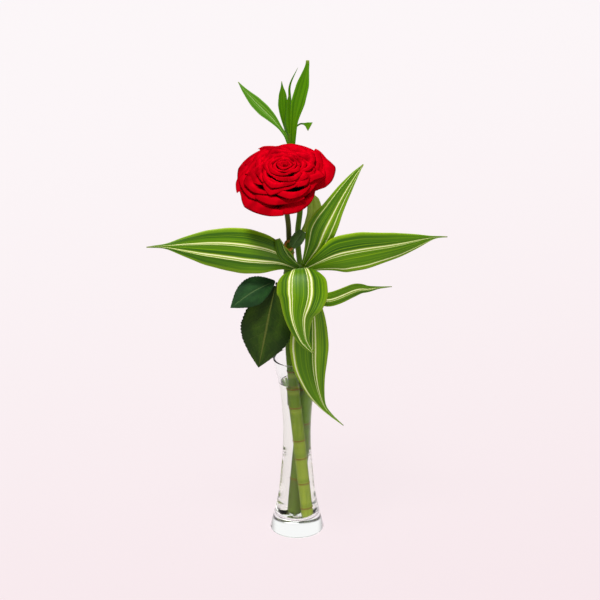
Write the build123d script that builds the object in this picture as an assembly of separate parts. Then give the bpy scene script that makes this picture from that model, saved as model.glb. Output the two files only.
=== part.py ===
from build123d import *
import math
import os

# Glass bud vase filled with water, two lucky bamboo canes and one red rose.
# Millimetres, +Z up, origin at the centre of the vase's base underside, -Y faces the front.

os.makedirs("parts", exist_ok=True)

# ---- vase -------------------------------------------------------------------------------
VASE_OUTER = [(28.1, 5), (25.1, 17), (20, 41), (17.3, 65), (14.8, 99), (15.7, 139),
              (18.9, 168), (22, 183), (24.6, 192), (25.3, 198)]
FOOT_R = 25.0             # flat underside the vase stands on
WALL = 2.1
FLOOR_Z = 16.0            # top of the thick glass base
RIM_Z = 200.0
WATER_Z = 172.0
WATER_GAP = 0.05          # between water and glass
CHANNEL_GAP = 0.3         # between water and every stem standing in it

# ---- stems: straight line inside the vase, then points of the bend above ----------------
FRONT_R, FRONT_SCAR_R = 5.4, 5.9      # between and at the swollen leaf scars
BACK_R, BACK_SCAR_R = 5.1, 5.6
FRONT_CANE = [(9.5, -6.5, 17.4), (-5.3, -4.9, 190)]
FRONT_BEND = [(-8.3, -6.0, 262), (-8.4, -8.0, 344)]
FRONT_SCARS = [28.5, 57, 86, 107, 145.5, 168, 187, 300, 324]
BACK_CANE = [(-1.5, 8.0, 17.0), (7.6, 3.8, 190)]
BACK_TOP_Z = 210.0
BACK_SCARS = [58, 123, 165]
ROSE_STEM = [(-3.5, 4.5, 145), (-8.7, 3.4, 345)]
ROSE_STEM_R = 2.8
CUT_ANGLE = 40.0          # slope of the front cane's cut top, facing the front
CUT_Z = 332.0             # height of the middle of the cut
SEAL_R, SEAL_HOLE_R, SEAL_T = 4.9, 3.0, 0.8

# ---- rose head --------------------------------------------------------------------------
HEAD_ORIGIN = (-11.7, -3.9, 386.3)
HEAD_AXIS = (-0.03, -0.24, 0.97)
PETAL_T = 0.7
# ring name: petals, radius at the base, rim radius, rim height, first angle
PETAL_RINGS = {"inner": (3, 3.5, 11, 42, 20), "second": (4, 5.2, 19, 40, 50),
               "middle": (5, 6.9, 28, 36, 0), "outer": (5, 8.6, 39, 30, 36),
               "guard": (5, 10.3, 50, 23, 8)}
SEPALS, FIRST_SEPAL = 5, 56

LEAF_T = 0.8


def save(shape, name):
    """Write one closed solid as parts/NAME.step."""
    solid = max(shape.solids(), key=lambda s: s.volume)
    export_step(solid, f"parts/{name}.step")
    return solid


def on_line(line, z):
    """The point of a straight stem at height z."""
    (x0, y0, z0), (x1, y1, z1) = line
    t = (z - z0) / (z1 - z0)
    return Vector(x0 + (x1 - x0) * t, y0 + (y1 - y0) * t, z)


def bar(start, end, radius):
    """A straight round bar between two points."""
    start, end = Vector(*start), Vector(*end)
    length = (end - start).length
    return Plane(origin=start, z_dir=end - start) * Cylinder(
        radius, length, align=(Align.CENTER, Align.CENTER, Align.MIN))


def tube(points, radius, tangents=None):
    """A round stem swept along a smooth line through the points."""
    path = Spline(*points, tangents=tangents) if tangents else Spline(*points)
    return sweep(Plane(origin=path @ 0, z_dir=path % 0) * Circle(radius), path)


# ---- vase -------------------------------------------------------------------------------

def inner_wall(gap=0.0):
    """Points of the vase's inner wall, from the floor to the rim."""
    wall = [(r - WALL - gap, z) for r, z in VASE_OUTER if z > 30]
    return [(21.2 - gap, 24.5)] + wall


def vase_glass():
    outer = Spline(*VASE_OUTER)
    inner = Spline(*inner_wall())
    top_out, top_in = VASE_OUTER[-1], inner_wall()[-1]
    foot = Spline((FOOT_R, 0), VASE_OUTER[0], tangents=[(1, 0.35), tuple(outer % 0)[:2]])
    rim = ThreePointArc(top_out, ((top_out[0] + top_in[0]) / 2, RIM_Z - 0.4), top_in)
    bowl = Spline((0, FLOOR_Z), (17.5, FLOOR_Z + 1.0), inner @ 0,
                  tangents=[(1, 0), tuple(inner % 0)[:2]])
    under = Line((0, 0), (FOOT_R, 0))
    axis = Line((0, FLOOR_Z), (0, 0))
    profile = make_face([under, foot, outer, rim, inner, bowl, axis])
    return revolve(Plane.XZ * profile, Axis.Z)


def water():
    """Water up to its level, with a channel left for each stem over its whole lift."""
    inner = Spline(*inner_wall(WATER_GAP))
    bowl = Spline((0, FLOOR_Z + WATER_GAP), (17.5, FLOOR_Z + 1.0 + WATER_GAP), inner @ 0,
                  tangents=[(1, 0), tuple(inner % 0)[:2]])
    lid = [inner @ 1, (0, RIM_Z - 2), (0, FLOOR_Z + WATER_GAP)]
    body = revolve(Plane.XZ * make_face([bowl, inner, Polyline(*lid)]), Axis.Z)
    body -= Pos(0, 0, WATER_Z) * Cylinder(60, 60, align=(Align.CENTER, Align.CENTER, Align.MIN))
    lift = Vector(*FRONT_CANE[1]) - Vector(*FRONT_CANE[0])
    foot = Vector(*ROSE_STEM[0])
    channels = [(on_line(FRONT_CANE, 10), on_line(FRONT_CANE, 190), FRONT_SCAR_R),
                (on_line(BACK_CANE, 10), on_line(BACK_CANE, 190), BACK_SCAR_R),
                (on_line(ROSE_STEM, 144), on_line(ROSE_STEM, 190), ROSE_STEM_R),
                (foot - lift.normalized(), foot + lift.normalized() * 45, ROSE_STEM_R)]
    for start, end, radius in channels:
        body -= bar(start, end, radius + CHANNEL_GAP)
    return body


# ---- canes ------------------------------------------------------------------------------

def leaf_scar(centre, direction, radius):
    """One swollen ring around a cane."""
    swell = 0.9
    return Plane(origin=centre, z_dir=direction) * Torus(radius - swell, swell)


def front_cane():
    start, straight_end = Vector(*FRONT_CANE[0]), Vector(*FRONT_CANE[1])
    way = (straight_end - start).normalized()
    bend = Spline(straight_end, *FRONT_BEND, tangents=[way, (0, -0.06, 1)])
    cane = bar(start, straight_end, FRONT_R)
    cane += sweep(Plane(origin=straight_end, z_dir=way) * Circle(FRONT_R), bend)
    for z in FRONT_SCARS:
        if z < 190:
            cane += leaf_scar(on_line(FRONT_CANE, z), way, FRONT_SCAR_R)
        else:
            t = (z - 190) / (FRONT_BEND[-1][2] - 190)
            cane += leaf_scar(bend @ t, bend % t, FRONT_SCAR_R)
    return cane - cut_block()


def cut_plane():
    """The sloping plane of the front cane's cut top."""
    x, y = FRONT_BEND[-1][:2]
    slope = math.radians(CUT_ANGLE)
    return Plane(origin=(x, y, CUT_Z), x_dir=(1, 0, 0),
                 z_dir=(0, -math.sin(slope), math.cos(slope)))


def cut_block():
    """Everything above the cut plane."""
    return cut_plane() * Box(60, 60, 40, align=(Align.CENTER, Align.CENTER, Align.MIN))


def cut_seal():
    """Ring of orange wax on the cut top."""
    plane = cut_plane()
    stretch = 1 / math.cos(math.radians(CUT_ANGLE))
    ring = Ellipse(SEAL_R, SEAL_R * stretch) - Ellipse(SEAL_HOLE_R, SEAL_HOLE_R * stretch)
    return extrude(plane * ring, SEAL_T, dir=tuple(plane.z_dir))


def back_cane():
    start, end = Vector(*BACK_CANE[0]), on_line(BACK_CANE, BACK_TOP_Z)
    ends = bar(start, end, BACK_R).edges().filter_by(GeomType.CIRCLE).sort_by(Axis.Z)
    cane = fillet(ends[0], 3.5)
    cane = fillet(cane.edges().filter_by(GeomType.CIRCLE).sort_by(Axis.Z)[-1], 1.0)
    for z in BACK_SCARS:
        cane += leaf_scar(on_line(BACK_CANE, z), end - start, BACK_SCAR_R)
    return cane


# ---- leaves -----------------------------------------------------------------------------

def blade(points, half, widest=0.4, base=2.0, tip=0.4, cup=0.12, facing=(0, -1, 0.4),
          roll=0.0, thick=LEAF_T):
    """A leaf blade along a curved spine.

    half is the half width where the blade is widest, base and tip those of its ends. cup bows
    the section, and roll (degrees) curls each half around the spine.
    """
    spine = Spline(*points)
    power = math.log(0.5) / math.log(widest)
    rows = []
    for i in range(11):
        t = i / 10
        centre, along = spine @ t, spine % t
        side = along.cross(Vector(*facing)).normalized()
        front = side.cross(along).normalized()
        width = half * math.sin(math.pi * t ** power) + base * (1 - t) ** 2 + tip
        row = []
        for j in range(7):
            s = j / 3 - 1
            if roll:
                turn = math.radians(roll) * s
                radius = width / math.radians(roll)
                row.append(centre + side * (radius * math.sin(turn))
                           - front * (radius * (1 - math.cos(turn))))
            else:
                row.append(centre + side * (width * s) - front * (cup * width * s * s))
        rows.append(row)
    return Solid.thicken(Face.make_surface_from_array_of_points(rows), thick)


FRONT_SHOOT = [(-6.5, -10, 294), (1, -13, 302), (4.5, -14, 312)]
FRONT_LEAVES = {
    "front_leaf_left": dict(points=[(0.4, -15.5, 309), (-20, -22, 326), (-60, -27, 336),
                                    (-102, -29, 340), (-139, -30, 341), (-158, -30, 340)],
                            half=23, base=1.4),
    "front_leaf_right": dict(points=[(8.4, -14.5, 309), (39, -22, 327), (66, -25, 335),
                                     (106, -28, 342), (143, -30, 351), (158, -30, 352)],
                             half=19, base=1.4, facing=(0, -1, 0.12)),
    "front_leaf_upright": dict(points=[(7.4, -10.8, 314), (14, -10.5, 334), (27, -12, 361),
                                       (48, -12, 396), (69.6, -10, 426)], half=15, base=1.3),
    "front_leaf_arching": dict(points=[(3.6, -18.6, 310), (5, -38, 317), (6.5, -61, 292),
                                       (11, -69, 258), (17.5, -70, 236)], half=26, base=1.4,
                               facing=(0, -0.7, 0.7)),
    "front_leaf_hanging": dict(points=[(6.5, -18, 302.5), (11, -38, 298), (15, -48, 262),
                                       (21, -49, 200), (49, -45, 140)], half=21, base=1.2,
                               facing=(0, -0.8, 0.6)),
    "front_leaf_short": dict(points=[(8.2, -12.5, 303), (15, -16, 287), (32, -19, 275),
                                     (62, -19, 284), (100, -17, 289)], half=8, base=1.2,
                             widest=0.5, facing=(0, -1, 0.15)),
    "front_leaf_rolled": dict(points=[(1.6, -17, 313.2), (-7, -23.5, 320), (-14, -24.5, 331),
                                      (-18.5, -20.5, 345)], half=6, base=1.1, roll=60),
}

BACK_SHOOT = [(8.6, 10.5, 203), (8, 34, 238), (4, 47, 280), (1, 49, 326), (3.2, 49, 347),
              (-3, 50, 400), (-6.3, 50, 436)]
BACK_LEAVES = {
    "back_leaf_curled": dict(points=[(7, 49, 318), (20, 47, 330), (27, 47, 352), (14, 50, 378)],
                             half=9, base=1.5, widest=0.55),
    "back_leaf_left": dict(points=[(-10.6, 50, 431), (-18, 50, 442), (-37, 50, 466),
                                   (-52, 49, 484), (-61.7, 48, 495.5)], half=9, base=1.0,
                           widest=0.5),
    "back_leaf_small": dict(points=[(-8.5, 56, 430), (-13.7, 56, 453), (-15.3, 56, 475),
                                    (-16, 55, 495)], half=4.8, base=1.0, widest=0.55),
    "back_leaf_spear": dict(points=[(-6.4, 50, 437), (-7, 50, 454), (-9, 49, 479)], half=3.6,
                            base=1.6, roll=100),
    "back_leaf_sliver": dict(points=[(-5, 59.5, 432), (-7.4, 59, 470), (-7.2, 58, 488),
                                     (0.8, 55, 508.5)], half=1.3, base=0.8),
    "back_leaf_tall": dict(points=[(-4.4, 45.5, 428), (-2.6, 45, 454), (2.1, 45, 480),
                                   (9, 46, 507), (11.2, 46, 521)], half=7.8, base=1.6,
                           widest=0.5, tip=1.6),
    "back_leaf_twisted": dict(points=[(-2.6, 50, 441), (3.8, 50, 446), (8.4, 50, 445),
                                      (15, 50, 443)], half=3.6, base=0.8, widest=0.7),
}


# ---- rose -------------------------------------------------------------------------------

HEAD = Plane(origin=HEAD_ORIGIN, x_dir=(1, 0, 0), z_dir=HEAD_AXIS)


def head_point(radius, angle, height):
    """A point given around the rose's own axis."""
    a = math.radians(angle)
    return HEAD.from_local_coords(Vector(radius * math.cos(a), radius * math.sin(a), height))


def rose_stem():
    foot, end = Vector(*ROSE_STEM[0]), Vector(*ROSE_STEM[1])
    way = (end - foot).normalized()
    neck = Spline(end, HEAD.origin - HEAD.z_dir * 12, tangents=[way, HEAD.z_dir])
    return bar(foot, end, ROSE_STEM_R) + sweep(
        Plane(origin=end, z_dir=way) * Circle(ROSE_STEM_R), neck)


def rose_hip():
    """The green cup under the petals."""
    side = Spline((2.9, -12), (5.6, -9.5), (6.4, -5.5), (8.2, -2), (11.2, 0))
    profile = make_face([side, Polyline((11.2, 0), (0, 0), (0, -12), (2.9, -12))])
    return HEAD * revolve(Plane.XZ * profile, Axis.Z)


def rose_heart():
    """The tight bud in the middle."""
    side = Spline((1.4, 0), (3.2, 12), (5.2, 26), (4.4, 38), (2.0, 43))
    profile = make_face([side, Polyline((2.0, 43), (0, 43), (0, 0), (1.4, 0))])
    return HEAD * revolve(Plane.XZ * profile, Axis.Z)


def petal(ring, index):
    """One petal: a patch of its ring's cup."""
    count, base_r, rim_r, rim_h, first = PETAL_RINGS[ring]
    middle, half_span = first + 360 / count * index, 180 / count - 2.5
    rows = []
    for i in range(8):
        row = []
        for j in range(9):
            s = j / 4 - 1
            up = (0.01 + 0.99 * i / 7) * (1 - 0.16 * abs(s) ** 3)
            row.append(head_point(base_r + (rim_r - base_r) * up ** 1.35,
                                  middle + half_span * s, rim_h * up))
        rows.append(row)
    return Solid.thicken(Face.make_surface_from_array_of_points(rows), PETAL_T)


def sepal(index):
    angle = 360 / SEPALS * index + FIRST_SEPAL
    points = [head_point(r, angle, h) for r, h in ((11.4, -1.6), (17, -1.4), (22, -4), (27, -8))]
    return blade(points, 4, widest=0.35, base=1.5, tip=0.2, facing=tuple(HEAD.z_dir), thick=0.6)


ROSE_STALK = [(-9.8, 4.4, 270), (-17.5, 1.5, 278), (-21.5, -6, 286), (-21.5, -13.5, 291.5)]
FLAP_STALK = [(-5.7, 3.2, 352), (-0.5, -1.5, 353), (3.6, -7, 350.5), (4.6, -10.5, 347.5)]
ROSE_LEAVES = {
    "rose_leaf_large": dict(points=[(-22.6, -15.2, 289), (-29.5, -22, 264), (-34.8, -27, 239),
                                    (-40.6, -30, 201.5)], half=26, base=0.8, widest=0.54),
    "rose_leaf_small": dict(points=[(-23.2, -15.6, 294.6), (-45.7, -28, 287),
                                    (-70, -38, 274)], half=14, base=0.8, widest=0.5),
    "rose_leaf_flap": dict(points=[(5.2, -12.2, 346), (-1, -16, 342), (-9.5, -17, 335.5)],
                           half=4.2, base=0.8, widest=0.5),
}


# ---- build ------------------------------------------------------------------------------

save(vase_glass(), "vase_glass")
save(water(), "water")

cane = save(front_cane(), "front_cane")
save(cut_seal(), "front_cane_seal")
shoot = save(tube(FRONT_SHOOT, 3.0) - cane, "front_shoot")
for name, sizes in FRONT_LEAVES.items():
    save(blade(**sizes) - cane - shoot, name)

cane = save(back_cane(), "back_cane")
shoot = save(tube(BACK_SHOOT, 3.0) - cane, "back_shoot")
for name, sizes in BACK_LEAVES.items():
    save(blade(**sizes) - cane - shoot, name)

stem = save(rose_stem(), "rose_stem")
hip = save(rose_hip() - stem, "rose_hip")
save(rose_heart(), "rose_heart")
for ring, (count, *_) in PETAL_RINGS.items():
    for index in range(count):
        save(petal(ring, index), f"petal_{ring}_{index + 1}")
for index in range(SEPALS):
    save(sepal(index) - hip, f"sepal_{index + 1}")
save(tube(ROSE_STALK, 1.0) - stem, "rose_leaf_stalk")
save(tube(FLAP_STALK, 1.0) - stem, "rose_flap_stalk")
for name, sizes in ROSE_LEAVES.items():
    save(blade(**sizes), name)
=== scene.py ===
"""Looks of a glass bud vase with water, two bamboo canes in leaf and a red rose."""
import functools
import logging
import math
from dataclasses import dataclass, field, replace
from enum import Enum
from typing import Any, Optional, Sequence

import bpy
import numpy as np
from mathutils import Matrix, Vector


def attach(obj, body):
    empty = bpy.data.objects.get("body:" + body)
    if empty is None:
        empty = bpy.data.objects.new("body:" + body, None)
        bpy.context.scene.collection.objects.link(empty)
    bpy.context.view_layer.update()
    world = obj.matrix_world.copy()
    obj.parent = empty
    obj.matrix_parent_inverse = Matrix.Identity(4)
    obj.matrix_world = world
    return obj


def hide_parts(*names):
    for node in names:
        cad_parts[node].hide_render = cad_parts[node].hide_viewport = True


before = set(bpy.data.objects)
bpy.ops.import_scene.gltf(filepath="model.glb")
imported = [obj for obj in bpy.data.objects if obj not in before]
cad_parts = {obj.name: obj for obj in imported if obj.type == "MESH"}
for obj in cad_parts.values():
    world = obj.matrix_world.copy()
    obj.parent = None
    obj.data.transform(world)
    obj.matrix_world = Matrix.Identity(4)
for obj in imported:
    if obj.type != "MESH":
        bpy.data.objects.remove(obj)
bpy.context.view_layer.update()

LOG = logging.getLogger("bud_vase")
MM = 0.001
Point = tuple[float, float, float]
Colour = tuple[float, float, float]
Stripes = tuple[tuple[float, float], ...]
Grid = Sequence[Sequence[Vector]]
LEAF_UV = "blade"


# ---- shader graph ---------------------------------------------------------------------------


class Value:
    """A shader output that takes part in arithmetic."""

    def __init__(self, graph: "Graph", socket: Any) -> None:
        """Wraps one output socket of a graph."""
        self.graph = graph
        self.socket = socket

    def _math(self, operation: str, *terms: "Value | float") -> "Value":
        """Adds one Math node and returns its result."""
        return self.graph.node("ShaderNodeMath", {"operation": operation}, dict(enumerate(terms)))

    def __add__(self, other: "Value | float") -> "Value":
        """self + other."""
        return self._math("ADD", self, other)

    __radd__ = __add__

    def __sub__(self, other: "Value | float") -> "Value":
        """self - other."""
        return self._math("SUBTRACT", self, other)

    def __rsub__(self, other: "Value | float") -> "Value":
        """other - self."""
        return self._math("SUBTRACT", other, self)

    def __mul__(self, other: "Value | float") -> "Value":
        """self * other."""
        return self._math("MULTIPLY", self, other)

    __rmul__ = __mul__

    def __truediv__(self, other: "Value | float") -> "Value":
        """self / other."""
        return self._math("DIVIDE", self, other)

    def __rtruediv__(self, other: "Value | float") -> "Value":
        """other / self."""
        return self._math("DIVIDE", other, self)

    def __pow__(self, other: "Value | float") -> "Value":
        """self to the power of other."""
        return self._math("POWER", self, other)

    def __abs__(self) -> "Value":
        """Distance from zero."""
        return self._math("ABSOLUTE", self)

    def fract(self) -> "Value":
        """The part after the decimal point."""
        return self._math("FRACT", self)

    def top(self, other: "Value | float") -> "Value":
        """The larger of two values."""
        return self._math("MAXIMUM", self, other)

    def smooth(self, low: float, high: float) -> "Value":
        """Runs softly from 0 at low to 1 at high.

        Args:
            low: the value that gives 0; it may be above high.
            high: the value that gives 1.

        Returns:
            A value between 0 and 1.
        """
        flip = low > high
        settings = {"interpolation_type": "SMOOTHSTEP"}
        links = {"Value": self, "From Min": min(low, high), "From Max": max(low, high)}
        result = self.graph.node("ShaderNodeMapRange", settings, links)
        return 1 - result if flip else result


def largest(values: Sequence[Value]) -> Value:
    """The largest of several values at each place."""
    return functools.reduce(Value.top, values)


class Graph:
    """The node tree of one material, or of the sky."""

    def __init__(self, name: str, sky: bool = False) -> None:
        """Starts an empty tree."""
        self.material = (bpy.data.worlds if sky else bpy.data.materials).new(name)
        self.material.use_nodes = True
        self.tree = self.material.node_tree
        self.tree.nodes.clear()

    def node(self, kind: str, settings: Optional[dict[str, Any]] = None,
             links: Optional[dict[Any, Any]] = None, out: Any = 0) -> Value:
        """Adds one node.

        Args:
            kind: the node's type.
            settings: its options, set first.
            links: socket name or number to a constant or a Value.
            out: name or number of the output to return.

        Returns:
            That output.
        """
        made = self.tree.nodes.new(kind)
        for key, value in (settings or {}).items():
            setattr(made, key, value)
        for key, value in (links or {}).items():
            if isinstance(value, Value):
                self.tree.links.new(value.socket, made.inputs[key])
            else:
                made.inputs[key].default_value = value
        return Value(self, None if out is None else made.outputs[out])

    def mix(self, factor: Value | float, a: Value | Colour, b: Value | Colour) -> Value:
        """Blends two colours by a factor."""
        a, b = ((*c, 1) if isinstance(c, tuple) else c for c in (a, b))
        return self.node("ShaderNodeMix", {"data_type": "RGBA"}, {0: factor, 6: a, 7: b}, 2)

    def blade(self) -> tuple[Value, Value]:
        """Place on a blade: across from -1 to 1, and along from 0 to 1."""
        uv = self.node("ShaderNodeUVMap", {"uv_map": LEAF_UV})
        across = self.node("ShaderNodeSeparateXYZ", None, {0: uv}, 0)
        along = self.node("ShaderNodeSeparateXYZ", None, {0: uv}, 1)
        return across * 2 - 1, along

    def place(self) -> Value:
        """Place on the object, in metres."""
        return self.node("ShaderNodeTexCoord", None, None, "Object")

    def along(self, place: Value, start: Point, way: Point) -> Value:
        """Distance in metres from a start point along a direction."""
        moved = self.node("ShaderNodeVectorMath", {"operation": "SUBTRACT"}, {0: place, 1: start})
        return self.node("ShaderNodeVectorMath", {"operation": "DOT_PRODUCT"},
                         {0: moved, 1: way}, "Value")

    def vector(self, x: Value | float, y: Value | float, z: Value | float = 0.0) -> Value:
        """Joins three numbers."""
        return self.node("ShaderNodeCombineXYZ", None, {0: x, 1: y, 2: z})

    def noise(self, where: Value, scale: float, detail: float = 3.0, rough: float = 0.5) -> Value:
        """Soft noise between about 0.2 and 0.8."""
        return self.node("ShaderNodeTexNoise", None, {
            "Vector": where, "Scale": scale, "Detail": detail, "Roughness": rough}, 0)

    def bump(self, height: Value, strength: float, depth_mm: float) -> Value:
        """Turns a height into a surface normal."""
        return self.node("ShaderNodeBump", None, {
            "Height": height, "Strength": strength, "Distance": depth_mm * MM})

    def surface(self, **sockets: Any) -> bpy.types.Material:
        """Ends the material with a Principled surface.

        Args:
            sockets: socket names with _ for spaces, and their constants or Values.

        Returns:
            The finished material.
        """
        links = {}
        for key, value in sockets.items():
            if isinstance(value, tuple) and len(value) == 3:
                value = (*value, 1)
            links[key.replace("_", " ")] = value
        return self.end(self.node("ShaderNodeBsdfPrincipled", None, links))

    def end(self, shader: Value, kind: str = "ShaderNodeOutputMaterial") -> Any:
        """Joins a shader to the output and returns the finished material or sky."""
        self.node(kind, None, {"Surface": shader}, None)
        return self.material


# ---- finishes -------------------------------------------------------------------------------


@dataclass(frozen=True)
class Clear:
    """Clear glass or water, slightly wavy; glint is how much light it throws back."""

    name: str
    ior: float
    tint: Colour
    waviness: float
    glint: float
    speckle: Colour = (0.9, 0.95, 0.93)

    def material(self) -> bpy.types.Material:
        """Builds the material."""
        g = Graph(self.name)
        ripple = g.noise(g.place(), 38.0, 1.0)
        speck = g.noise(g.place(), 900.0, 2.0)
        colour = g.mix(speck.smooth(0.3, 0.7) * 0.02, self.tint, self.speckle)
        return g.surface(Base_Color=colour, Roughness=speck.smooth(0.62, 0.8) * 0.01,
                         IOR=self.ior, Specular_Tint=(self.glint,) * 3,
                         Transmission_Weight=1.0, Normal=g.bump(ripple, self.waviness, 1.0))


@dataclass(frozen=True)
class Striped:
    """Satin leaf with cream stripes along it.

    stripes lists the place of each across the leaf, from -1 to 1, with its half width. contrast
    is that of the veins, and grain is smaller for fewer, wider veins.
    """

    name: str
    stripes: Stripes
    seed: float = 0.0
    dark: Colour = (0.022, 0.090, 0.003)
    green: Colour = (0.095, 0.230, 0.002)
    edge: Colour = (0.300, 0.500, 0.004)
    halo: Colour = (0.500, 0.640, 0.015)
    cream: Colour = (1.000, 1.000, 0.560)
    dry_tip: Colour = (0.300, 0.340, 0.060)
    gloss: float = 0.15
    contrast: float = 0.60
    grain: float = 1.0

    def material(self) -> bpy.types.Material:
        """Builds the material."""
        g = Graph(self.name)
        across, along = g.blade()
        bands = g.noise(g.vector(across * 2.3, along * 0.5, self.seed), 1.0, 2.0)
        fold = across * self.grain
        veins = g.noise(g.vector(fold * 26, along * 0.9, self.seed + 3), 1.0, 3.0)
        fine = g.noise(g.vector(fold * 80, along * 1.6, self.seed + 5), 1.0, 2.0)
        wander = (g.noise(g.vector(along * 2.0, self.seed), 1.0, 1.0) - 0.5) * 0.14
        colour = g.mix(bands.smooth(0.40, 0.60) * 0.8, self.green, self.dark)
        colour = g.mix(veins.smooth(0.50, 0.66) * self.contrast, colour, self.dark)
        colour = g.mix(veins.smooth(0.46, 0.32) * self.contrast, colour, self.edge)
        colour = g.mix(abs(across).smooth(0.76, 0.98) * 0.6, colour, self.edge)
        colour = g.mix(abs(across).smooth(0.95, 0.99) * self.contrast, colour, self.halo)
        if self.stripes:
            off = [(abs(across + wander - place), width) for place, width in self.stripes]
            stripe = largest([away.smooth(width, width * 0.5) for away, width in off])
            glow = largest([away.smooth(width * 2.8, width * 0.8) for away, width in off])
            broken = 1 - fine.smooth(0.54, 0.70) * 0.35
            colour = g.mix(glow * 0.6 * broken, colour, self.halo)
            colour = g.mix(stripe * broken, colour, self.cream)
        colour = g.mix(along.smooth(0.95, 1.0) * 0.6, colour, self.dry_tip)
        return g.surface(Base_Color=colour, Roughness=0.32 + veins * 0.12,
                         Specular_IOR_Level=self.gloss,
                         Normal=g.bump(veins * 0.7 + fine * 0.3, 0.6, 0.3))


@dataclass(frozen=True)
class RoseLeafSkin:
    """Dull dark leaf with a pale midrib and side veins."""

    name: str
    deep: Colour = (0.014, 0.040, 0.002)
    green: Colour = (0.048, 0.100, 0.004)
    rib: Colour = (0.130, 0.150, 0.025)
    veins: float = 9.0

    def material(self) -> bpy.types.Material:
        """Builds the material."""
        g = Graph(self.name)
        across, along = g.blade()
        blotch = g.noise(g.vector(across * 1.4, along * 2.2), 1.0, 4.0)
        mesh = g.noise(g.vector(across * 16, along * 22), 1.0, 3.0)
        slant = (along - abs(across) * 0.20 + (blotch - 0.5) * 0.03) * self.veins
        side = abs(slant.fract() - 0.5).smooth(0.44, 0.5) * abs(across).smooth(1.0, 0.55)
        middle = abs(across).smooth(0.055, 0.02)
        colour = g.mix(blotch.smooth(0.35, 0.65), self.deep, self.green)
        colour = g.mix(mesh.smooth(0.45, 0.65) * 0.35, colour, self.deep)
        colour = g.mix(side * 0.16, colour, self.rib)
        colour = g.mix(middle * 0.85, colour, self.rib)
        height = mesh * 0.4 - side * 0.8 - middle
        return g.surface(Base_Color=colour, Roughness=0.46 + mesh * 0.12,
                         Specular_IOR_Level=0.15, Normal=g.bump(height, 0.7, 0.4))


@dataclass(frozen=True)
class VelvetWithPaintedLight:
    """Red rose petal; painted shade down in the cup and on the outer lip, painted highlight at the
    rim fold, painted shadow at the lip's edge.
    """

    name: str
    # painted highlight of the folded rim
    bright: Colour = (0.740, 0.0, 0.010)
    # painted shade on the outer lip, and random tone in the cloud
    middle: Colour = (0.420, 0.0, 0.004)
    # painted shade in the cup and painted shadow at the lip edge; also the veins and random dark
    # patches
    deep: Colour = (0.060, 0.0, 0.001)
    seed: float = 0.0

    def material(self) -> bpy.types.Material:
        """Builds the material."""
        g = Graph(self.name)
        across, along = g.blade()
        veins = g.noise(g.vector(across * 9, along * 1.8, self.seed), 1.0, 2.0)
        cloud = g.noise(g.vector(across * 1.6, along * 2.0, self.seed + 2), 1.0, 3.0)
        patch = g.noise(g.place(), 55.0, 1.0)
        # painted shade down in the cup, rising to the painted highlight at the rim fold
        colour = g.mix(along.smooth(0.52, 0.65), self.deep, self.bright)
        # painted shade on the outer part of the lip
        colour = g.mix(along.smooth(0.70, 0.90) * 0.6, colour, self.middle)
        # painted shadow along the very edge of the lip
        colour = g.mix(along.smooth(0.955, 1.0) * 0.75, colour, self.deep)
        colour = g.mix(veins.smooth(0.45, 0.68) * 0.12, colour, self.deep)
        colour = g.mix(cloud.smooth(0.42, 0.66) * 0.5, colour, self.middle)
        colour = g.mix(patch.smooth(0.48, 0.64) * 0.35, colour, self.deep)
        return g.surface(Base_Color=colour, Roughness=0.50 + veins * 0.18,
                         Specular_IOR_Level=0.0, Normal=g.bump(veins, 0.35, 0.3))


@dataclass(frozen=True)
class Bark:
    """Skin of a cane, shoot or stem, with leaf scars across it.

    start and way are its axis in metres, and scars the places along it in millimetres. It is
    pale below pale_below and green above green_above, both in metres along the axis.
    """

    name: str
    start: Point
    way: Point
    scars: tuple[float, ...] = ()
    pale: Colour = (0.300, 0.370, 0.035)
    green: Colour = (0.095, 0.190, 0.002)
    scar: Colour = (0.210, 0.090, 0.012)
    pale_below: float = 0.05
    green_above: float = 0.17
    streaks: float = 260.0

    def material(self) -> bpy.types.Material:
        """Builds the material."""
        g = Graph(self.name)
        place = g.place()
        height = g.along(place, self.start, self.way)
        stretch = g.node("ShaderNodeVectorMath", {"operation": "MULTIPLY"},
                         {0: place, 1: (self.streaks * 4, self.streaks * 4, self.streaks * 0.12)})
        streak = g.noise(stretch, 1.0, 3.0)
        cloud = g.noise(place, 60.0, 2.0)
        ripe = (height + (cloud - 0.5) * 0.08).smooth(self.pale_below, self.green_above)
        colour = g.mix(ripe, self.pale, self.green)
        colour = g.mix(streak.smooth(0.42, 0.66) * 0.45, colour, self.green)
        relief = streak * 0.5
        if self.scars:
            rises = [height - mark * MM for mark in self.scars]
            ring = largest([abs(rise).smooth(0.0011, 0.0004) for rise in rises])
            below = largest([abs(rise + 0.004).smooth(0.0045, 0.0005) for rise in rises])
            above = largest([abs(rise - 0.0035).smooth(0.0035, 0.0005) for rise in rises])
            colour = g.mix(below * 0.55, colour, self.pale)
            colour = g.mix(above * 0.35, colour, self.green)
            colour = g.mix(ring * 0.9, colour, self.scar)
            relief = relief - ring
        return g.surface(Base_Color=colour, Roughness=0.38 + streak * 0.15,
                         Specular_IOR_Level=0.12, Normal=g.bump(relief, 0.5, 0.3))


@dataclass(frozen=True)
class Wax:
    """Crumbly orange wax."""

    name: str = "orange_wax"
    light: Colour = (0.760, 0.300, 0.030)
    dark: Colour = (0.380, 0.110, 0.012)

    def material(self) -> bpy.types.Material:
        """Builds the material."""
        g = Graph(self.name)
        crumb = g.noise(g.place(), 700.0, 4.0)
        return g.surface(Base_Color=g.mix(crumb.smooth(0.35, 0.65), self.dark, self.light),
                         Roughness=0.5 + crumb * 0.3, Normal=g.bump(crumb, 0.7, 0.4))


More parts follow.
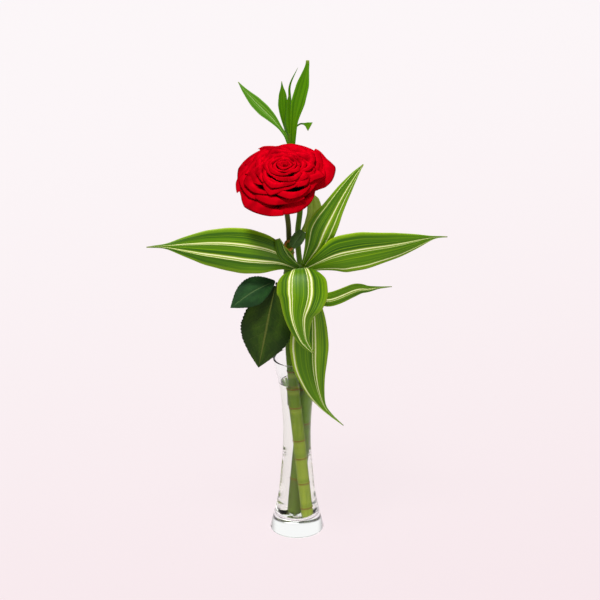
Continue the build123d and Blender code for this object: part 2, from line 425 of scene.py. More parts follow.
@dataclass(frozen=True)
class Paper:
    """Seamless pale backdrop."""

    name: str = "pale_backdrop"
    near: Colour = (0.900, 0.765, 0.800)
    far: Colour = (0.975, 0.930, 0.945)
    base: Colour = (0.05, 0.045, 0.046)
    glow: float = 0.96

    def material(self) -> bpy.types.Material:
        """Builds the material."""
        g = Graph(self.name)
        way = (-0.30, 0.95, 0.0)
        shade = g.along(g.place(), (0.0, 0.0, 0.0), way).smooth(-0.9, 1.6)
        colour = g.mix(shade, self.near, self.far)
        return g.surface(Base_Color=self.base, Roughness=0.9, Specular_IOR_Level=0.0,
                         Emission_Color=colour, Emission_Strength=self.glow)


# ---- shapes ---------------------------------------------------------------------------------


class Spine:
    """A smooth line through points, read by its share of length."""

    STEPS = 24

    def __init__(self, points: Sequence[Point]) -> None:
        """Joins points given in millimetres."""
        p = np.array(points, float) * MM
        p = np.vstack([2 * p[0] - p[1], p, 2 * p[-1] - p[-2]])
        run = []
        for i in range(1, len(p) - 2):
            for j in range(self.STEPS):
                run.append(self._between(p[i - 1:i + 3], j / self.STEPS))
        run.append(p[-2])
        self.points = np.array(run)
        step = np.linalg.norm(np.diff(self.points, axis=0), axis=1)
        self.length = float(step.sum())
        self.share = np.concatenate([[0], np.cumsum(step)]) / self.length

    @staticmethod
    def _between(p: np.ndarray, t: float) -> np.ndarray:
        """One point of a Catmull-Rom piece."""
        a, b = 2 * p[1], p[2] - p[0]
        c = 2 * p[0] - 5 * p[1] + 4 * p[2] - p[3]
        d = -p[0] + 3 * p[1] - 3 * p[2] + p[3]
        return 0.5 * (a + b * t + c * t ** 2 + d * t ** 3)

    def at(self, t: float) -> Vector:
        """The point at share t of the length."""
        return Vector([float(np.interp(t, self.share, self.points[:, k])) for k in range(3)])

    def way(self, t: float) -> Vector:
        """The direction at share t of the length."""
        low, high = max(0.0, t - 0.03), min(1.0, t + 0.03)
        return (self.at(high) - self.at(low)).normalized()


def smooth_piece(name: str, verts: Sequence[Any], faces: Sequence[tuple[int, ...]],
                 material: bpy.types.Material) -> bpy.types.Object:
    """Makes a smooth-shaded object with one finish and links it to the scene."""
    mesh = bpy.data.meshes.new(name)
    mesh.from_pydata(verts, [], faces)
    mesh.polygons.foreach_set("use_smooth", [True] * len(mesh.polygons))
    mesh.materials.append(material)
    piece = bpy.data.objects.new(name, mesh)
    bpy.context.scene.collection.objects.link(piece)
    return piece


def sheet_mesh(name: str, sheets: Sequence[Grid], thick_mm: float,
               material: bpy.types.Material) -> bpy.types.Object:
    """Makes thin closed sheets from grids of points.

    Args:
        name: the object's name.
        sheets: for each sheet its points, row by row along it.
        thick_mm: their thickness.
        material: their finish.

    Returns:
        The object, linked to the scene.
    """
    verts, faces, places = [], [], []
    for rows in sheets:
        first, high, wide = len(verts), len(rows), len(rows[0])
        verts += [p for row in rows for p in row]
        places += [(j / (wide - 1), i / (high - 1)) for i in range(high) for j in range(wide)]
        corners = [first + i * wide + j for i in range(high - 1) for j in range(wide - 1)]
        faces += [(c, c + 1, c + wide + 1, c + wide) for c in corners]
    piece = smooth_piece(name, verts, faces, material)
    layer = piece.data.uv_layers.new(name=LEAF_UV)
    for loop in piece.data.loops:
        layer.data[loop.index].uv = places[loop.vertex_index]
    shell = piece.modifiers.new("thickness", "SOLIDIFY")
    shell.thickness = thick_mm * MM
    shell.offset = 0.0
    return piece


def lathe_mesh(name: str, profile: Sequence[tuple[float, float]], sides: int,
               material: bpy.types.Material) -> bpy.types.Object:
    """Turns a closed profile round the Z axis.

    Args:
        name: the object's name.
        profile: radius and height in millimetres, from the axis to the axis.
        sides: how many steps go round.
        material: its finish.

    Returns:
        The object, linked to the scene.
    """
    verts, faces, inner = [], [], profile[1:-1]
    verts.append((0, 0, profile[0][1] * MM))
    for r, z in inner:
        for k in range(sides):
            a = 2 * math.pi * k / sides
            verts.append((r * MM * math.cos(a), r * MM * math.sin(a), z * MM))
    verts.append((0, 0, profile[-1][1] * MM))
    last = len(verts) - 1
    for k in range(sides):
        n = (k + 1) % sides
        faces.append((0, 1 + n, 1 + k))
        for i in range(len(inner) - 1):
            a, b = 1 + i * sides, 1 + (i + 1) * sides
            faces.append((a + k, a + n, b + n, b + k))
        end = 1 + (len(inner) - 1) * sides
        faces.append((end + k, end + n, last))
    return smooth_piece(name, verts, faces, material)


class Body(Enum):
    """The four bodies of the part."""

    VASE = "vase"
    FRONT = "front_cane"
    BACK = "back_cane"
    ROSE = "rose"


def dress(node: str, material: bpy.types.Material) -> None:
    """Gives a CAD node its finish."""
    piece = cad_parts[node]
    piece.data.materials.clear()
    piece.data.materials.append(material)
    LOG.info("dressed %s", node)


@dataclass
class Blade:
    """One leaf or sepal.

    Sizes are in millimetres. points is the spine and outline lists half widths by share of its
    length. Without an outline, half is the half width at its widest place, a share of the length,
    base the half width at the root, tip that at the end and full how fast the leaf swells. cup is
    how far the edges bow back, fold how far they lean forward of the midrib, wave, waves and
    phase the ripple of the edges, roll the curl of each half in degrees, and teeth the number of
    saw teeth on each edge.
    """

    BLUR = 0.015
    TOOTH_DEPTH = 0.055
    TOOTH_BAND = 0.2
    EDGE_LAG = 1.7

    node: str
    points: Sequence[Point]
    half: float = 0.0
    widest: float = 0.4
    base: float = 2.0
    tip: float = 0.15
    cup: float = 0.12
    fold: float = 0.0
    wave: float = 0.0
    waves: float = 2.0
    phase: float = 0.0
    roll: float = 0.0
    teeth: int = 0
    facing: Point = (0, -1, 0.4)
    thick: float = 0.45
    full: float = 0.9
    outline: Sequence[tuple[float, float]] = ()
    rows: int = 72
    columns: int = 24

    def width(self, t: float) -> float:
        """Half width at share t of the length."""
        if self.outline:
            near = [t + self.BLUR * step for step in (-2, -1, 0, 1, 2)]
            return float(np.interp(near, *zip(*self.outline)).mean())
        if t < self.widest:
            swell = math.sin(math.pi / 2 * t / self.widest) ** self.full
        else:
            swell = math.cos(math.pi / 2 * (t - self.widest) / (1 - self.widest))
        return self.half * max(0.0, swell) + self.base * (1 - t) ** 2 + self.tip

    def grid(self) -> list[list[Vector]]:
        """The points of the blade's middle surface."""
        spine, rows = Spine(self.points), []
        for i in range(self.rows + 1):
            t = i / self.rows
            along = spine.way(t)
            side = along.cross(Vector(self.facing)).normalized()
            front = side.cross(along).normalized()
            rows.append([self.point(spine.at(t), side, front, t, 2 * j / self.columns - 1)
                         for j in range(self.columns + 1)])
        return rows

    def point(self, centre: Vector, side: Vector, front: Vector, t: float, s: float) -> Vector:
        """One point at place s across the blade."""
        width = self.width(t) * MM
        if self.teeth:
            bite = (t * self.teeth) % 1.0
            near_edge = max(0.0, abs(s) - 1 + self.TOOTH_BAND) / self.TOOTH_BAND
            width *= 1 - self.TOOTH_DEPTH * bite * near_edge
        if self.roll:
            turn = math.radians(self.roll) * s
            radius = width / math.radians(self.roll)
            back = radius * (1 - math.cos(turn))
            return centre + side * (radius * math.sin(turn)) - front * back
        lag = self.EDGE_LAG if s > 0 else 0.0
        ripple = math.sin(2 * math.pi * self.waves * t + self.phase + lag)
        out = (-self.cup * s * s + self.fold * abs(s)) * width
        out += self.wave * MM * ripple * abs(s) ** 2 * math.sin(math.pi * t)
        return centre + side * width * s + front * out

    def build(self, body: Body, material: bpy.types.Material, slot: str) -> bpy.types.Object:
        """Makes the piece, which stands for its CAD solid.

        Args:
            body: the body that it rides on.
            material: its finish.
            slot: not used.

        Returns:
            The object.
        """
        piece = sheet_mesh(f"{self.node}_form", [self.grid()], self.thick, material)
        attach(piece, body.value)
        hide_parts(self.node)
        LOG.info("built %s", piece.name)
        return piece


# ---- vase and water -------------------------------------------------------------------------


@dataclass
class Vase:
    """The glass and its water.

    outer lists the glass's radius by height, bowl the water's radius by height above the floor
    of the glass, and creep how far it climbs the glass by distance from it.
    """

    wall: float = 2.1
    floor: float = 16.0
    level: float = 172.0
    overlap: float = 0.08
    outer: Sequence[tuple[float, float]] = ((20, 41), (17.3, 65), (14.8, 99), (15.7, 139),
                                            (18.9, 168), (22, 183))
    bowl: Sequence[tuple[float, float]] = ((14.0, 0.25), (17.5, 0.95), (19.9, 3.6), (21.1, 8.5),
                                           (20.6, 14.0))
    creep: Sequence[tuple[float, float]] = ((0.0, 0.8), (0.4, 0.45), (1.0, 0.18), (2.0, 0.04),
                                            (3.2, 0.0))
    glass: Clear = Clear("clear_glass", 1.47, (0.975, 1.0, 0.99), 0.04, 0.20)
    liquid: Clear = Clear("still_water", 1.333, (0.980, 0.970, 0.935), 0.02, 0.05)

    def build(self) -> None:
        """Dresses the glass and pours the water."""
        dress("vase_glass", self.glass.material())
        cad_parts["vase_glass"].visible_shadow = False
        water = lathe_mesh("water_form", self.water_profile(), 96, self.liquid.material())
        water.visible_shadow = False
        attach(water, Body.VASE.value)
        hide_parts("water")
        LOG.info("built the vase and its water")

    def water_profile(self) -> list[tuple[float, float]]:
        """Radius and height of the water's skin, from the floor up and over the top."""
        line = Spine([(r - self.wall + self.overlap, z, 0) for r, z in self.outer])
        side = [line.at(i / 60) / MM for i in range(61)]
        side = [(p.x, p.y) for p in side if p.y < self.level]
        low = self.floor - self.overlap
        rise = [(8.0, low, 0)] + [(r, self.floor + up, 0) for r, up in self.bowl]
        skirt = Spine(rise)
        foot = [(0.0, low)] + [(p.x, p.y) for p in (skirt.at(i / 24) / MM for i in range(25))]
        return foot + [p for p in side if p[1] > foot[-1][1] + 1.0] + self.lip(side[-1][0])

    def lip(self, radius: float) -> list[tuple[float, float]]:
        """The top of the water, which creeps up the glass."""
        top = [(radius + 0.25 - inward, self.level + up) for inward, up in self.creep]
        return top + [(0.0, self.level)]


# ---- canes ----------------------------------------------------------------------------------


@dataclass
class FrontCane:
    """The cane at the front, its wax, shoot and striped leaves."""

    start: Point = (0.0095, -0.0065, 0.0174)
    way: Point = (-0.08543, 0.00924, 0.99630)
    scars: tuple[float, ...] = (11.1, 39.7, 68.9, 89.9, 128.6, 151.2, 170.2, 283.5, 307.0)
    leaves: dict[str, tuple[Blade, Stripes]] = field(default_factory=dict)
    light_leaves: tuple[str, ...] = ("upright", "hanging")
    light_dark: Colour = (0.040, 0.150, 0.003)
    light_green: Colour = (0.170, 0.360, 0.003)

    def __post_init__(self) -> None:
        """Lists the leaves with the stripes of each."""
        n = "front_leaf_"
        self.leaves = {
            "left": (Blade(n + "left", [(2.4, -14.6, 308), (-20, -22, 324.5), (-60, -27, 335),
                                        (-102, -29, 339.5), (-139, -30, 341), (-158, -30, 340)],
                           wave=1.2, waves=1.6, fold=0.10, cup=0.22,
                           outline=((0, 1.8), (0.12, 11), (0.25, 20.5), (0.38, 24), (0.5, 22.5),
                                    (0.64, 18), (0.78, 9.4), (0.88, 2.3), (1, 0.4))),
                     ((0.28, 0.035), (0.19, 0.012), (-0.36, 0.04), (-0.46, 0.015))),
            "right": (Blade(n + "right", [(6.6, -13.8, 307), (39, -22, 325), (66, -25, 333),
                                          (106, -28, 341.5), (143, -30, 351), (158, -30, 352)],
                            wave=1.3, waves=2.0, phase=1.0, fold=0.10, cup=0.2,
                            outline=((0, 1.8), (0.13, 10), (0.27, 20.5), (0.44, 20.5), (0.66, 14),
                                     (0.79, 7.9), (0.91, 1.4), (1, 0.4)), facing=(0, -1, 0.12)),
                      ((-0.11, 0.04), (0.02, 0.012), (0.78, 0.03))),
            "upright": (Blade(n + "upright", [(6.5, -11.5, 309), (13.5, -10.8, 321.7),
                                              (19.8, -10.6, 334), (25.5, -11.5, 352),
                                              (36.3, -12, 373), (47.5, -12, 393.6),
                                              (60.7, -11, 414.5), (69.6, -10, 426)],
                              fold=0.16, cup=0.25, wave=0.8,
                              outline=((0, 2.4), (0.10, 6.8), (0.2, 12), (0.34, 16), (0.45, 14.5),
                                       (0.55, 11.4), (0.75, 7.4), (0.9, 3.6), (1, 0.4))),
                        ((0.24, 0.06), (0.66, 0.03), (-0.62, 0.025))),
            "arching": (Blade(n + "arching", [(3.6, -17, 309), (4.6, -38, 317),
                                              (5.6, -58, 297.4), (2.4, -66.5, 275.8),
                                              (6.6, -69.5, 253), (13, -70, 241.6),
                                              (17.5, -70, 236)],
                              facing=(0, -0.7, 0.7), fold=0.08, cup=0.3,
                              outline=((0, 2), (0.08, 9), (0.18, 17.5), (0.28, 26), (0.42, 27),
                                       (0.54, 21.9), (0.64, 15.2), (0.745, 10.8), (0.85, 6.5),
                                       (0.95, 2.7), (1, 0.4))),
                        ((0.52, 0.045), (0.40, 0.015), (-0.37, 0.045), (-0.24, 0.015))),
            "hanging": (Blade(n + "hanging", [(6, -17, 303), (10, -38, 298), (13, -47, 268),
                                              (12.9, -48.5, 231.8), (14.2, -48.5, 208),
                                              (19.4, -48, 184.4), (27.2, -47, 165),
                                              (36, -46, 153.5), (49, -45, 141)],
                              facing=(0, -0.8, 0.6), fold=0.12, cup=0.25, wave=0.8,
                              outline=((0, 1.8), (0.11, 7), (0.273, 16), (0.364, 18.9),
                                       (0.464, 20.9), (0.589, 17.8), (0.65, 14.4), (0.716, 11),
                                       (0.79, 6.5), (0.83, 3.4), (0.9, 1.6), (1, 0.3))),
                        ((0.82, 0.055), (-0.33, 0.04), (-0.18, 0.015))),
            "short": (Blade(n + "short", [(7, -12.5, 303), (15, -16, 287), (32, -19, 275),
                                          (62, -19, 286.5), (75.4, -19, 287.2),
                                          (86.2, -18, 288.3), (100, -17, 289)],
                            wave=0.9, waves=2.2, fold=0.2, cup=0.2, facing=(0, -1, 0.15),
                            outline=((0, 1.6), (0.162, 4), (0.3, 7.6), (0.5, 7.6), (0.65, 7),
                                     (0.772, 3.4), (0.872, 1.3), (1, 0.3))),
                      ((0.05, 0.09), (0.30, 0.03))),
            "rolled": (Blade(n + "rolled", [(2.2, -15.6, 311), (-8, -22, 320.5), (-16, -24, 331),
                                            (-20.5, -19.5, 345)], roll=60, rows=36,
                             outline=((0, 1.6), (0.3, 4.6), (0.6, 6.4), (0.85, 5.8), (1, 3))),
                       ((0.7, 0.03),)),
        }

    def build(self) -> None:
        """Dresses the cane and grows its leaves."""
        dress("front_cane", Bark("front_cane_skin", self.start, self.way, self.scars).material())
        dress("front_cane_seal", Wax().material())
        dress("front_shoot", Bark("front_shoot_skin", self.start, self.way).material())
        for i, (name, (leaf, stripes)) in enumerate(self.leaves.items()):
            finish = Striped(f"striped_{name}", stripes, seed=1.7 * i)
            if name in self.light_leaves:
                finish = replace(finish, dark=self.light_dark, green=self.light_green)
            leaf.build(Body.FRONT, finish.material(), "variegated_leaf")
        LOG.info("built the front cane")


@dataclass
class BackCane:
    """The cane at the back, its long shoot and plain leaves."""

    start: Point = (-0.0015, 0.008, 0.017)
    way: Point = (0.05251, -0.02424, 0.99832)
    scars: tuple[float, ...] = (41.1, 106.2, 148.3)
    leaves: Sequence[Blade] = ()

    def __post_init__(self) -> None:
        """Lists the leaves."""
        n = "back_leaf_"
        self.leaves = (
            Blade(n + "curled", [(5, 49, 322), (13, 47, 334), (18.5, 47, 350), (15, 49, 367)],
                  roll=50, outline=((0, 2), (0.3, 6), (0.6, 9), (0.85, 7), (1, 1.5))),
            Blade(n + "left", [(-6, 50, 420), (-9.1, 50, 425.3), (-12.3, 50, 433.6),
                               (-19, 50, 444), (-26.6, 50, 453.7), (-35.1, 49.5, 462.7),
                               (-44.6, 49, 473.1), (-54.5, 48.5, 484.9), (-61.7, 48, 495.3)],
                  fold=0.25, outline=((0, 2), (0.14, 1.8), (0.27, 2.1), (0.41, 4.7), (0.55, 6.6),
                                      (0.70, 6.1), (0.865, 2.9), (1, 0.3))),
            Blade(n + "small", [(-9, 54, 428), (-11.4, 56, 440.2), (-13.9, 56, 454.8),
                                (-14.8, 56, 467.2), (-15.2, 56, 479.7), (-16.1, 55, 493.2)],
                  fold=0.2, outline=((0, 1.8), (0.18, 2.4), (0.4, 4.0), (0.59, 5.3), (0.78, 3.9),
                                     (0.9, 1.3), (1, 0.3))),
            Blade(n + "spear", [(-5, 50, 422), (-6.3, 50, 432.5), (-8, 50, 445), (-8.6, 50, 459.5),
                                (-8.7, 49.5, 470), (-8.6, 49, 479.3)], roll=85,
                  outline=((0, 4.2), (0.18, 5.8), (0.4, 7.4), (0.65, 5.4), (0.84, 3), (1, 0.4))),
            Blade(n + "sliver", [(-5, 59.5, 432), (-7.4, 59, 470), (-7.2, 58, 488),
                                 (0.8, 55, 508.5)], 1.2, base=0.8, fold=0.3),
            Blade(n + "tall", [(-4.8, 46.5, 420), (-4.2, 46, 430), (-2.8, 45, 451),
                               (0.9, 45, 472), (6.1, 45.5, 493), (10.6, 46, 513.8),
                               (11.2, 46, 521)], fold=0.25,
                  outline=((0, 2.6), (0.12, 3), (0.31, 3.8), (0.52, 7.5), (0.73, 6.8),
                           (0.92, 2.4), (1, 1.7))),
            Blade(n + "twisted", [(-4, 50, 438), (-1.3, 50, 442.9), (3.8, 50, 446.7),
                                  (9.5, 50, 446), (14.2, 50, 443.4)],
                  outline=((0, 0.8), (0.6, 0.8), (0.7, 1.2), (1, 5.3))),
        )

    def build(self) -> None:
        """Dresses the cane and grows its leaves."""
        bark = Bark("back_cane_skin", self.start, self.way, self.scars,
                    pale=(0.12, 0.16, 0.030), green=(0.13, 0.25, 0.006), green_above=0.11)
        dress("back_cane", bark.material())
        dress("back_shoot", Bark("back_shoot_skin", self.start, self.way,
                                 pale=(0.20, 0.30, 0.02), green=(0.110, 0.220, 0.006)).material())
        skin = Striped("plain_leaf", (), seed=4.0, dark=(0.045, 0.170, 0.001),
                       green=(0.100, 0.290, 0.002), edge=(0.140, 0.370, 0.004),
                       halo=(0.16, 0.38, 0.01), gloss=0.05, contrast=0.5, grain=0.22).material()
        # painted highlight: the cream midrib stripe, its pale halo and the pale edge green stand
        # for this leaf's gloss
        painted_highlight_leaf = Striped("leaf_painted_highlight", ((0.0, 0.05),), seed=6.0, dark=(0.055, 0.210, 0.003),
                         green=(0.120, 0.350, 0.010), edge=(0.260, 0.520, 0.080),
                         halo=(0.26, 0.50, 0.08), cream=(0.42, 0.64, 0.22), gloss=0.10,
                         contrast=0.5, grain=0.16).material()
        pale = Striped("pale_leaf", (), seed=8.0, dark=(0.300, 0.420, 0.030),
                       green=(0.500, 0.640, 0.100), edge=(0.560, 0.700, 0.160),
                       contrast=0.5, grain=0.4).material()
        finishes = {"left": painted_highlight_leaf, "curled": pale}
        for leaf in self.leaves:
            finish = finishes.get(leaf.node.removeprefix("back_leaf_"), skin)
            leaf.build(Body.BACK, finish, "green_leaf")
        LOG.info("built the back cane")


# ---- rose -----------------------------------------------------------------------------------


@dataclass
class Head:
    """The frame of the rose head."""

    origin: Point = (-11.7, -3.9, 386.3)
    axis: Point = (-0.03, -0.24, 0.97)

    def __post_init__(self) -> None:
        """Works out the head's own axes."""
        self.up = Vector(self.axis).normalized()
        self.right = (Vector((1, 0, 0)) - self.up * self.up.x).normalized()
        self.back = self.up.cross(self.right)

    def place(self, radius: float, angle: float, height: float) -> Vector:
        """A point around the head's axis, in metres, from millimetres and degrees."""
        a = math.radians(angle)
        local = self.right * math.cos(a) * radius + self.back * math.sin(a) * radius
        return (Vector(self.origin) + local + self.up * height) * MM


@dataclass(frozen=True)
class Layer:
    """One run of petal lips round the head.

    reach is the lips' edge radius as a share of the flower's outline, even how far it is
    rounded towards a circle, height the edge height at the sides, slant how much higher it is
    at the back than at the sides, and lip the width of the folded lip. Sizes are millimetres.
    """

    reach: float
    even: float
    height: float
    slant: float
    lip: float
    turn: float = 0.0
    point: float = 0.07


@dataclass
class Petal:
    """One rose petal, made of a cup and a folded lip for each of its layers.

    angle is the middle of the petal around the head and span its half width in degrees. outline
    lists the flower's radius by angle. tuck draws one side of the petal under its neighbour, and
    stand is how much higher the lips are at the back, where each is drawn in by PULL of that.
    """

    CORNER_REACH = (-0.9, -0.2, 1.2, -0.1, -0.9)
    CORNER_LIP = (0.35, 0.85, 1.25, 0.8, 0.3)
    RISE = 12.857
    PULL = 1.28
    RIM = (-0.86, 0.42)
    OVER = (0.34, 0.10)

    node: str
    angle: float
    span: float
    base_r: float
    layers: Sequence[Layer]
    seed: int = 0
    tuck: float = 0.045
    stand: float = 7.0
    cup_rows: int = 26
    lip_rows: int = 14
    columns: int = 40
    mean_r: float = 51.0
    outline: Sequence[tuple[float, float]] = (
        (20, 57.9), (34, 57.2), (47, 58.4), (73, 54.6), (93, 53.3), (102, 51.8), (117, 58.6),
        (146, 57.2), (158, 55.7), (173, 50.7), (202, 51.5), (220, 55.5), (252, 49.3),
        (274, 46.4), (286, 45.2), (302, 41.2), (337, 33.5), (348, 43.5))

    def grid(self, head: Head, layer: Layer, draw: np.random.RandomState) -> Grid:
        """The points of one layer, from its base over the rim to the edge of the lip."""
        tip = 0.5 * (draw.rand() - 0.5)
        corners = (-1.0, tip - 0.5, tip, tip + 0.45, 1.0)
        reach = 1 + layer.point * (np.array(self.CORNER_REACH) + 0.6 * draw.randn(5))
        lip = np.array(self.CORNER_LIP) + 0.10 * draw.randn(5)
        rise = self.RISE * layer.point * draw.randn(5)
        degrees, radii = zip(*self.outline)
        columns = []
        for j in range(self.columns + 1):
            s = 2 * j / self.columns - 1
            angle = self.angle + layer.turn + self.span * s
            outer = float(np.interp(angle % 360, degrees, radii, period=360))
            edge_r = layer.reach * (outer + (self.mean_r - outer) * layer.even)
            edge_r *= float(np.interp(s, corners, reach)) * (1 + self.tuck * s)
            edge_h = layer.height + layer.slant * math.sin(math.radians(angle))
            edge_h += float(np.interp(s, corners, rise))
            behind = max(0.0, math.sin(math.radians(angle)))
            edge_r -= self.PULL * self.stand * layer.reach * behind
            edge_h += self.stand * layer.reach * behind ** 2
            width = layer.lip * float(np.interp(s, corners, lip))
            columns.append([head.place(r, angle, h)
                            for r, h in self.line(edge_r, edge_h, width)])
        return [list(row) for row in zip(*columns)]

    def line(self, edge_r: float, edge_h: float, width: float) -> list[tuple[float, float]]:
        """Radius and height along one line up the cup and out over its lip."""
        rim_r, rim_h = edge_r + self.RIM[0] * width, edge_h + self.RIM[1] * width
        run = []
        for i in range(self.cup_rows):
            t = i / self.cup_rows
            run.append((self.base_r + (rim_r - self.base_r) * t ** 1.5, rim_h * t ** 0.95))
        over = (rim_r + self.OVER[0] * width, rim_h + self.OVER[1] * width)
        for i in range(self.lip_rows + 1):
            t = i / self.lip_rows
            parts = (1 - t) ** 2, 2 * t * (1 - t), t * t
            run.append(tuple(parts[0] * a + parts[1] * b + parts[2] * c
                             for a, b, c in zip((rim_r, rim_h), over, (edge_r, edge_h))))
        return run

    def build(self, head: Head, material: bpy.types.Material) -> bpy.types.Object:
        """Makes the petal.

        Args:
            head: the frame of the rose head.
            material: its finish.

        Returns:
            The object.
        """
        draw = np.random.RandomState(self.seed)
        sheets = [self.grid(head, layer, draw) for layer in self.layers]
        piece = sheet_mesh(f"{self.node}_form", sheets, 0.35, material)
        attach(piece, Body.ROSE.value)
        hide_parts(self.node)
        return piece


@dataclass
class Ring:
    """One ring of petals."""

    name: str
    count: int
    base_r: float
    first: float
    layers: Sequence[Layer]
    overlap: float = 1.22

    def build(self, head: Head, material: bpy.types.Material, seed: int) -> None:
        """Makes the ring's petals."""
        for i in range(self.count):
            angle = self.first + 360 / self.count * i
            Petal(f"petal_{self.name}_{i + 1}", angle, 180 / self.count * self.overlap,
                  self.base_r, self.layers, seed + i).build(head, material)
        LOG.info("built the %s petals", self.name)


@dataclass(frozen=True)
class Heart:
    """The tight spiral in the middle of the flower, whose lip rolls outward."""

    turns: float = 2.6
    inner_r: float = 1.2
    outer_r: float = 6.2
    foot_h: float = 14.0
    top_h: float = 40.5
    lip: float = 0.2
    lip_roll: float = 2.2
    round_steps: int = 150
    up_steps: int = 22

    def build(self, head: Head, material: bpy.types.Material) -> None:
        """Makes the spiral."""
        columns = []
        for i in range(self.round_steps + 1):
            w = i / self.round_steps
            angle = 360 * self.turns * w
            rim = self.inner_r + (self.outer_r - self.inner_r) * w
            rim += 0.35 * math.sin(5 * w * math.pi)
            top = self.top_h + 1.2 * math.sin(math.radians(angle) * 0.9) + 0.8 * w
            columns.append([head.place(r, angle, h) for r, h in self.line(rim, top)])
        rows = [list(row) for row in zip(*columns)]
        piece = sheet_mesh("rose_heart_form", [rows], 0.4, material)
        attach(piece, Body.ROSE.value)
        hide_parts("rose_heart")

    def line(self, rim: float, top: float) -> list[tuple[float, float]]:
        """Radius and height along one line, up the wall and over the lip."""
        run = []
        for j in range(self.up_steps + 1):
            t = j / self.up_steps
            if t < 1 - self.lip:
                q = t / (1 - self.lip)
                run.append((rim * (0.5 + 0.5 * q ** 1.2), self.foot_h + (top - self.foot_h) * q))
            else:
                turn = self.lip_roll * (t - 1 + self.lip) / self.lip
                run.append((rim + 1.1 * (1 - math.cos(turn)), top + 0.9 * math.sin(turn)))
        return run


@dataclass
class Rose:
    """The rose: head, cup, sepals, stem and its leaves."""

    head: Head = field(default_factory=Head)
    rings: Sequence[Ring] = (
        Ring("inner", 3, 3.5, 20, (Layer(0.165, 0.9, 42.0, -1.0, 2.6),
                                   Layer(0.25, 0.8, 41.8, -0.8, 3.2, 50))),
        Ring("second", 4, 5.2, 50, (Layer(0.335, 0.7, 40.8, -0.2, 4.0),
                                    Layer(0.42, 0.65, 39.5, 0.2, 4.4, 42))),
        Ring("middle", 5, 6.9, 0, (Layer(0.51, 0.6, 38.3, 0.6, 5.0, 0, 0.09),
                                   Layer(0.60, 0.5, 36.8, 1.1, 6.0, 34, 0.09))),
        Ring("outer", 5, 8.6, 36, (Layer(0.69, 0.4, 34.7, 1.4, 6.8, 0, 0.10),
                                   Layer(0.79, 0.35, 31.3, 2.2, 8.0, 30, 0.09))),
        Ring("guard", 5, 10.3, 8, (Layer(0.89, 0.3, 26.6, 4.0, 9.5, 34, 0.06),
                                   Layer(1.0, 0.0, 20.0, 8.0, 13.0, 0, 0.02))),
    )
    heart: Heart = Heart()
    sepals: int = 5
    first_sepal: float = 56.0
    sepal_line: Sequence[tuple[float, float]] = ((11.4, -1.6), (15, -1.6), (19, -3.2), (22.5, -6.5))

    def build(self) -> None:
        """Makes the whole flower."""
        for i, ring in enumerate(self.rings):
            ring.build(self.head, VelvetWithPaintedLight(f"red_petal_{ring.name}", seed=2.0 * i).material(), 10 * i)
        self.heart.build(self.head, VelvetWithPaintedLight("red_petal_heart", seed=9.0).material())
        self.green_parts()
        LOG.info("built the rose")

    def green_parts(self) -> None:
        """Dresses the stem and cup and grows the sepals and leaves."""
        stem = Bark("rose_stem_skin", (0, 0, 0), (0, 0, 1), pale=(0.120, 0.160, 0.02),
                    green=(0.075, 0.085, 0.008))
        skin = stem.material()
        for node in ("rose_stem", "rose_hip", "rose_leaf_stalk"):
            dress(node, skin)
        Blade("rose_flap_stalk", [(-8, 2, 338), (-3, -5, 341), (4.7, -10.6, 346.8)], roll=170,
              outline=((0, 1.8), (1, 1.8)), rows=16, columns=12,
              thick=0.3).build(Body.ROSE, skin, "rose_stem")
        sepal_skin = RoseLeafSkin("sepal_skin", green=(0.06, 0.14, 0.03)).material()
        for i in range(self.sepals):
            angle = 360 / self.sepals * i + self.first_sepal
            run = [tuple(self.head.place(r, angle, h) / MM) for r, h in self.sepal_line]
            Blade(f"sepal_{i + 1}", run, 4, widest=0.35, base=1.5, facing=tuple(self.head.up),
                  rows=24, columns=8, teeth=3).build(Body.ROSE, sepal_skin, "sepal")
        dark = RoseLeafSkin("rose_leaf_dark").material()
        cool = RoseLeafSkin("rose_leaf_cool", deep=(0.010, 0.045, 0.010),
                            green=(0.026, 0.095, 0.020), rib=(0.09, 0.16, 0.05)).material()
        large = Blade("rose_leaf_large", [(-22.6, -15.2, 289), (-28.5, -22, 264),
                                          (-33.4, -27, 239), (-40.6, -30, 201.5)], 27.5, base=0.8,
                      widest=0.52, teeth=26, wave=1.2, fold=0.12, cup=0.22, full=0.8)
        small = Blade("rose_leaf_small", [(-23.2, -15.6, 294.6), (-45.7, -28, 288.5),
                                          (-70, -38, 274)], 15, base=0.8, widest=0.48, teeth=20,
                      wave=0.8, fold=0.15, cup=0.25)
        for leaf, finish in ((large, dark), (small, cool)):
            piece = leaf.build(Body.ROSE, finish, "rose_leaf")
            piece.visible_transmission = piece.visible_glossy = False
        flap = RoseLeafSkin("rose_leaf_flap_skin", deep=(0.045, 0.105, 0.018),
                            green=(0.080, 0.170, 0.030), rib=(0.14, 0.24, 0.09)).material()
        Blade("rose_leaf_flap", [(6.2, -10.6, 350), (0.5, -16, 343), (-5.5, -17.5, 334.5)],
              outline=((0, 4), (0.25, 6.4), (0.6, 6.8), (0.9, 5), (1, 3)), teeth=10, fold=0.15,
              cup=0.4).build(Body.ROSE, flap, "rose_leaf")


# ---- studio ---------------------------------------------------------------------------------


@dataclass(frozen=True)
class Lamp:
    """One square soft light, with its side in metres."""

    name: str
    place: Point
    size: float
    watts: float

    def build(self, target: Point) -> None:
        """Hangs the light, facing the target."""
        lamp = bpy.data.lights.new(self.name, "AREA")
        lamp.size, lamp.energy = self.size, self.watts
        light = bpy.data.objects.new(self.name, lamp)
        light.location = self.place
        look = Vector(target) - Vector(self.place)
        light.rotation_euler = look.to_track_quat("-Z", "Y").to_euler()
        bpy.context.scene.collection.objects.link(light)


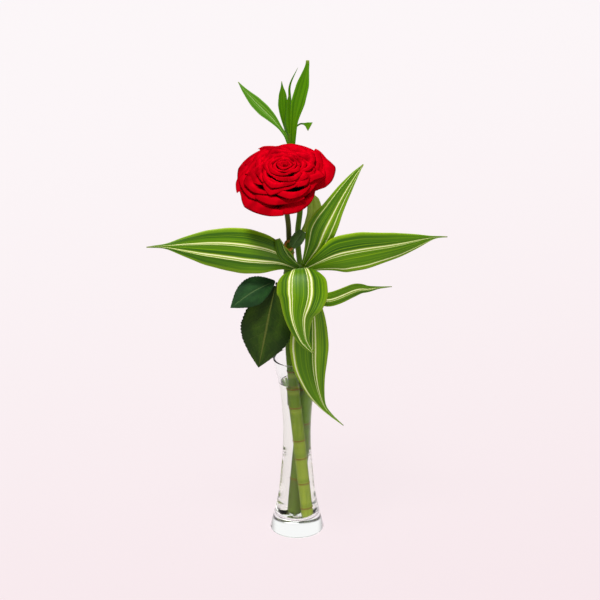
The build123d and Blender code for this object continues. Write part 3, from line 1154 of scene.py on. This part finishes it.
@dataclass
class Studio:
    """Floor, light and camera."""

    target: Point = (0.0032, 0.0, 0.266)
    distance: float = 12.0
    elevation: float = 24.0
    lens: float = 682.4
    floor_size: float = 30.0
    sky_light: float = 1.0
    sky_dim: Colour = (0.24, 0.24, 0.25)
    sky_bright: Colour = (0.96, 0.95, 0.95)
    sky_sides: Colour = (0.26, 0.27, 0.27)
    bounces: int = 40
    lamps: Sequence[Lamp] = (Lamp("key", (-0.3, -0.75, 2.3), 0.5, 38.0),
                             Lamp("fill", (1.2, -1.8, 0.8), 1.0, 7.0),
                             Lamp("back", (0.3, 1.2, 1.7), 0.8, 8.0))

    def build(self) -> None:
        """Sets up everything around the vase."""
        self.floor()
        self.lights()
        self.camera()
        LOG.info("built the studio")

    def floor(self) -> None:
        """Lays the backdrop."""
        half = self.floor_size / 2
        mesh = bpy.data.meshes.new("backdrop")
        mesh.from_pydata([(-half, -half, 0), (half, -half, 0), (half, half, 0), (-half, half, 0)],
                         [], [(0, 1, 2, 3)])
        mesh.materials.append(Paper().material())
        floor = bpy.data.objects.new("backdrop", mesh)
        floor.location.z = -0.0004
        floor.visible_diffuse = False
        bpy.context.scene.collection.objects.link(floor)

    def lights(self) -> None:
        """Hangs a key light, a fill and a back light, and sets the sky."""
        for lamp in self.lamps:
            lamp.build(self.target)
        bpy.context.scene.world = self.sky()
        bpy.context.scene.view_settings.view_transform = "Standard"
        bpy.context.scene.cycles.max_bounces = self.bounces
        bpy.context.scene.cycles.transmission_bounces = self.bounces

    def sky(self) -> bpy.types.World:
        """Builds a sky that is bright behind the vase and dimmer above it and at its sides."""
        g = Graph("pale_sky", sky=True)
        way = g.node("ShaderNodeTexCoord", None, None, "Generated")
        x, y, z = (g.node("ShaderNodeSeparateXYZ", None, {0: way}, i) for i in range(3))
        side = abs(x).smooth(0.60, 0.95)
        behind = y.smooth(0.05, 0.45) * z.smooth(0.80, 0.45)
        low = z.smooth(0.45, 0.15) * 0.35
        colour = g.mix(behind.top(low), self.sky_dim, self.sky_bright)
        colour = g.mix(side * 0.8, colour, self.sky_sides)
        light = g.node("ShaderNodeBackground", None, {"Color": colour, "Strength": self.sky_light})
        return g.end(light, "ShaderNodeOutputWorld")

    def camera(self) -> None:
        """Places the camera."""
        tilt = math.radians(self.elevation)
        back = Vector((0, -math.cos(tilt), math.sin(tilt)))
        lens = bpy.data.cameras.new("camera")
        lens.lens, lens.sensor_width = self.lens, 36.0
        camera = bpy.data.objects.new("camera", lens)
        camera.location = Vector(self.target) + back * self.distance
        camera.rotation_euler = (-back).to_track_quat("-Z", "Y").to_euler()
        bpy.context.scene.collection.objects.link(camera)
        bpy.context.scene.camera = camera


def main() -> None:
    """Builds every piece in order."""
    logging.basicConfig(level=logging.INFO, format="%(message)s")
    Studio().build()
    Vase().build()
    FrontCane().build()
    BackCane().build()
    Rose().build()


if __name__ == "__main__":
    main()
